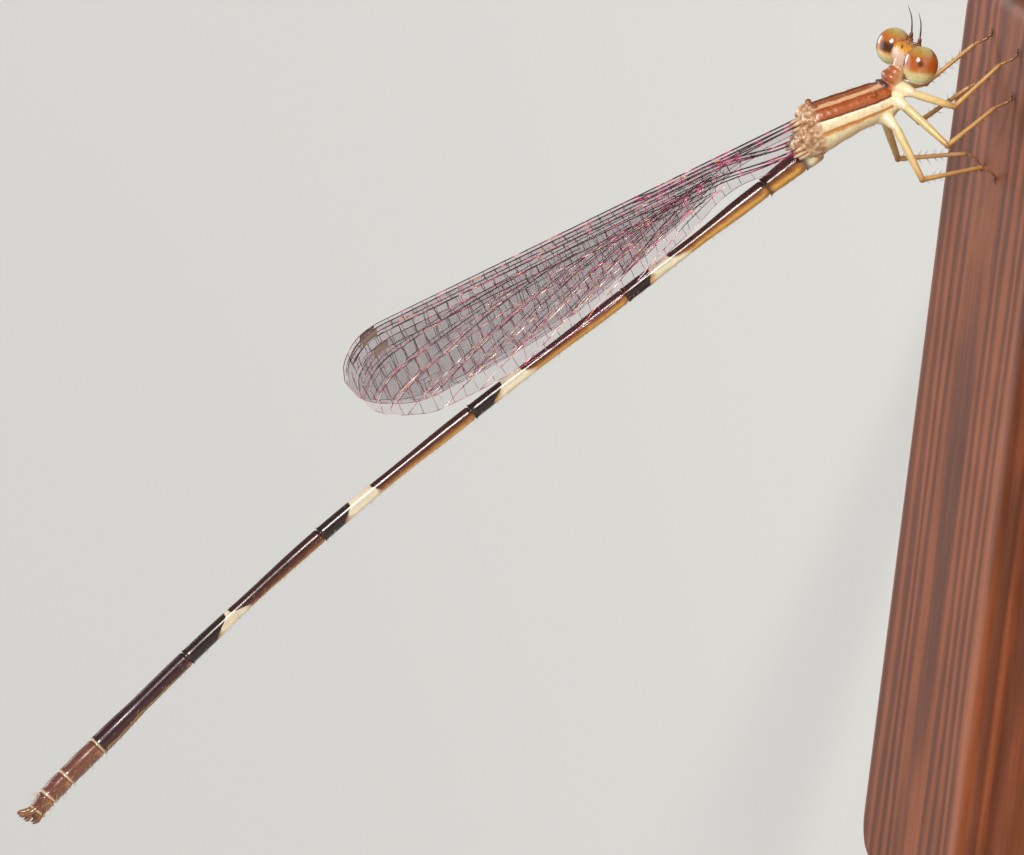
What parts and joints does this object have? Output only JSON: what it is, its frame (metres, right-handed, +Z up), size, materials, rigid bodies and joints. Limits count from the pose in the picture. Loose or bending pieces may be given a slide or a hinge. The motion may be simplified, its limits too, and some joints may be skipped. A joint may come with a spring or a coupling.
{
  "type": "damselfly model",
  "caption": "Life-size still model of a slender damselfly, wings closed over its long ringed abdomen, standing on a plain wooden base.",
  "frame": {"origin": "centre of the base's underside", "axes": "+Z up from the surface that the base stands on, +X along the base towards the head, +Y towards the insect's left"},
  "size_m": [0.036, 0.014, 0.038],
  "materials": {
    "wood": "dark stained wood, satin",
    "body": "cuticle in rust brown, cream and dark maroon, smooth and glossy",
    "eye": "glossy compound eye, olive above, orange brown at the middle, pale green below",
    "antenna": "brown cuticle",
    "leg": "pale straw cuticle with short bristles",
    "wing": "clear, faintly smoky membrane with dark veins and a pale wing spot"
  },
  "bodies": {
    "root": {"stand_base": "wood", "head": "body", "mouthparts": "body", "prothorax": "body", "thorax": "body", "eye_left": "eye", "eye_right": "eye", "antenna_left": "antenna", "antenna_right": "antenna", "abdomen_1": "body", "abdomen_2": "body", "abdomen_3": "body", "abdomen_4": "body", "abdomen_5": "body", "abdomen_6": "body", "abdomen_7": "body", "abdomen_8": "body", "abdomen_9": "body", "abdomen_10": "body", "forewing_left": "wing", "hindwing_left": "wing", "foreleg_left": "leg", "midleg_left": "leg", "hindleg_left": "leg", "forewing_right": "wing", "hindwing_right": "wing", "foreleg_right": "leg", "midleg_right": "leg", "hindleg_right": "leg"}
  },
  "joints": []
}
